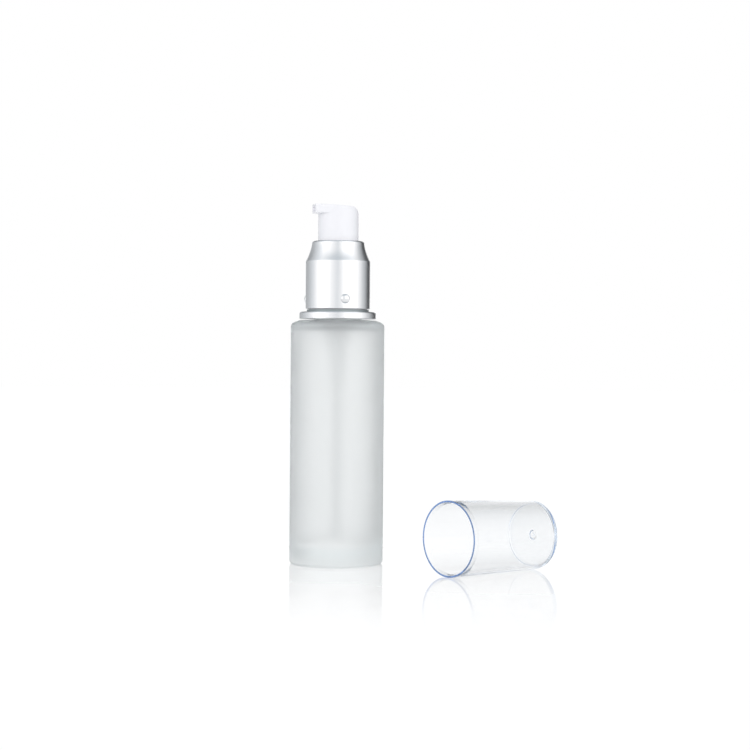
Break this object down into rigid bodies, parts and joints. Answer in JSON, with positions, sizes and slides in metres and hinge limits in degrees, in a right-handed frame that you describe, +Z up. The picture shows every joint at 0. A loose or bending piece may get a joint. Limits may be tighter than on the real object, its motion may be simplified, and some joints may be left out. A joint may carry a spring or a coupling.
{
  "type": "lotion bottle",
  "caption": "Frosted glass lotion bottle with a press-down treatment pump, a satin metal collar and a clear overcap lying beside it.",
  "frame": {"origin": "centre of the flat base that the bottle stands on", "axes": "+Z up the bottle's axis; +X along the overcap lying beside it, from its mouth to its closed end"},
  "size_m": [0.0656, 0.0877, 0.1343],
  "materials": {
    "frosted_glass": "acid-etched outside, pale green-grey, thick base",
    "satin_aluminium": "drawn and satin anodised, silver",
    "white_polypropylene": "moulded white, soft gloss",
    "natural_polypropylene": "uncoloured, milky translucent",
    "white_polyethylene": "soft, waxy",
    "gasket_foam": "closed-cell polyethylene foam",
    "stainless_steel": "bright drawn wire and polished ball",
    "clear_styrene": "water-clear with a faint blue edge, polished"
  },
  "bodies": {
    "bottle": {"glass_bottle": "frosted_glass"},
    "pump_body": {"pump_housing": "natural_polypropylene", "neck_gasket": "gasket_foam", "dip_tube": "natural_polypropylene", "lock_ring": "white_polypropylene", "spring_seat": "natural_polypropylene", "return_spring": "stainless_steel"},
    "closure": {"screw_closure": "white_polypropylene", "collar_shell": "satin_aluminium", "base_ring": "satin_aluminium"},
    "plunger": {"stem": "white_polypropylene", "piston_shaft": "white_polypropylene"},
    "seal": {"piston": "white_polyethylene"},
    "head": {"actuator_head": "white_polypropylene"},
    "inlet_valve": {"inlet_ball": "stainless_steel"},
    "cap": {"overcap": "clear_styrene"}
  },
  "joints": [
    {"name": "pump_rise", "type": "slide", "parent": "bottle", "child": "pump_body", "axis": [0, 0, 1], "range_m": [0, 0.00476]},
    {"name": "closure_turn", "type": "hinge", "parent": "pump_body", "child": "closure", "pos_m": [0, 0, 0.0984], "axis": [0, 0, 1], "range_deg": [0, 540]},
    {"name": "pump_stroke", "type": "slide", "parent": "pump_body", "child": "plunger", "axis": [0, 0, -1], "range_m": [0, 0.0055], "stiffness_N_per_m": 300, "springref_m": -0.0005, "deforming": ["return_spring"]},
    {"name": "head_swivel", "type": "hinge", "parent": "plunger", "child": "head", "pos_m": [0, 0, 0.125], "axis": [0, 0, 1], "continuous": true},
    {"name": "piston_slide", "type": "slide", "parent": "pump_body", "child": "seal", "axis": [0, 0, -1], "range_m": [0, 0.0047]},
    {"name": "ball_lift", "type": "slide", "parent": "pump_body", "child": "inlet_valve", "axis": [0, 0, 1], "range_m": [0, 0.0009]},
    {"name": "overcap_lift", "type": "slide", "parent": "bottle", "child": "cap", "axis": [0, 0, 1], "range_m": [0, 0.15]}
  ],
  "couplings": [
    {"joint": "pump_rise", "follows": "closure_turn", "m_per_rad": 0.00050532},
    {"joint": "piston_slide", "follows": "pump_stroke", "ratio": 0.8545}
  ]
}
